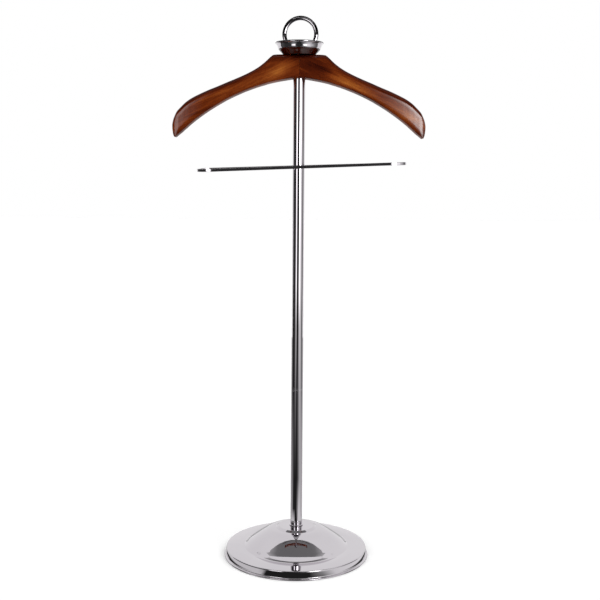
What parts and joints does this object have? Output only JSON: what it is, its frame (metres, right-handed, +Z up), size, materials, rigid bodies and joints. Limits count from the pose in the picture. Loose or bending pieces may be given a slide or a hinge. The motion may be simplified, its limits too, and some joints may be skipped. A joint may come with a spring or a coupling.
{
  "type": "valet stand",
  "caption": "Chromed valet stand with a weighted round base, tube column, trouser bar loop, wooden coat hanger, small dish and upright ring.",
  "frame": {"origin": "centre of the base on the floor, on the column's axis", "axes": "+Z up along the column, -Y towards the front of the picture, +X to the right seen from the front"},
  "size_m": [0.465, 0.276, 1.0161],
  "materials": {
    "chrome": "bright chrome plate",
    "plain_steel": "turned, unplated",
    "cast_iron": "as cast, painted black",
    "felt": "pressed black felt",
    "polished_wood": "red-brown hardwood under gloss lacquer",
    "dowel_wood": "plain beech",
    "brass": "turned"
  },
  "bodies": {
    "stand": {"base_pad": "felt", "base_weight": "cast_iron", "base_cover": "chrome", "base_bolt": "plain_steel", "base_bolt_washer": "plain_steel", "column_foot": "chrome", "lower_tube": "chrome", "upper_tube": "chrome", "lower_tube_plug": "plain_steel", "upper_tube_bottom_plug": "plain_steel", "upper_tube_top_plug": "plain_steel", "joint_stud": "plain_steel", "hanger_washer": "plain_steel", "hanger_bush": "brass", "dish_collar": "polished_wood", "dish": "chrome", "handle_ring": "chrome", "ring_boss": "chrome", "top_stud": "plain_steel"},
    "trouser_bar": {"bar_loop": "chrome", "bar_bridge": "chrome"},
    "hanger": {"hanger_left_arm": "polished_wood", "hanger_right_arm": "polished_wood", "hanger_front_dowel": "dowel_wood", "hanger_back_dowel": "dowel_wood"}
  },
  "joints": [
    {"name": "bar_swivel", "type": "hinge", "parent": "stand", "child": "trouser_bar", "pos_m": [0, 0, 0.743], "axis": [0, 0, 1], "continuous": true},
    {"name": "hanger_swivel", "type": "hinge", "parent": "stand", "child": "hanger", "pos_m": [0, 0, 0.9202], "axis": [0, 0, 1], "continuous": true}
  ]
}
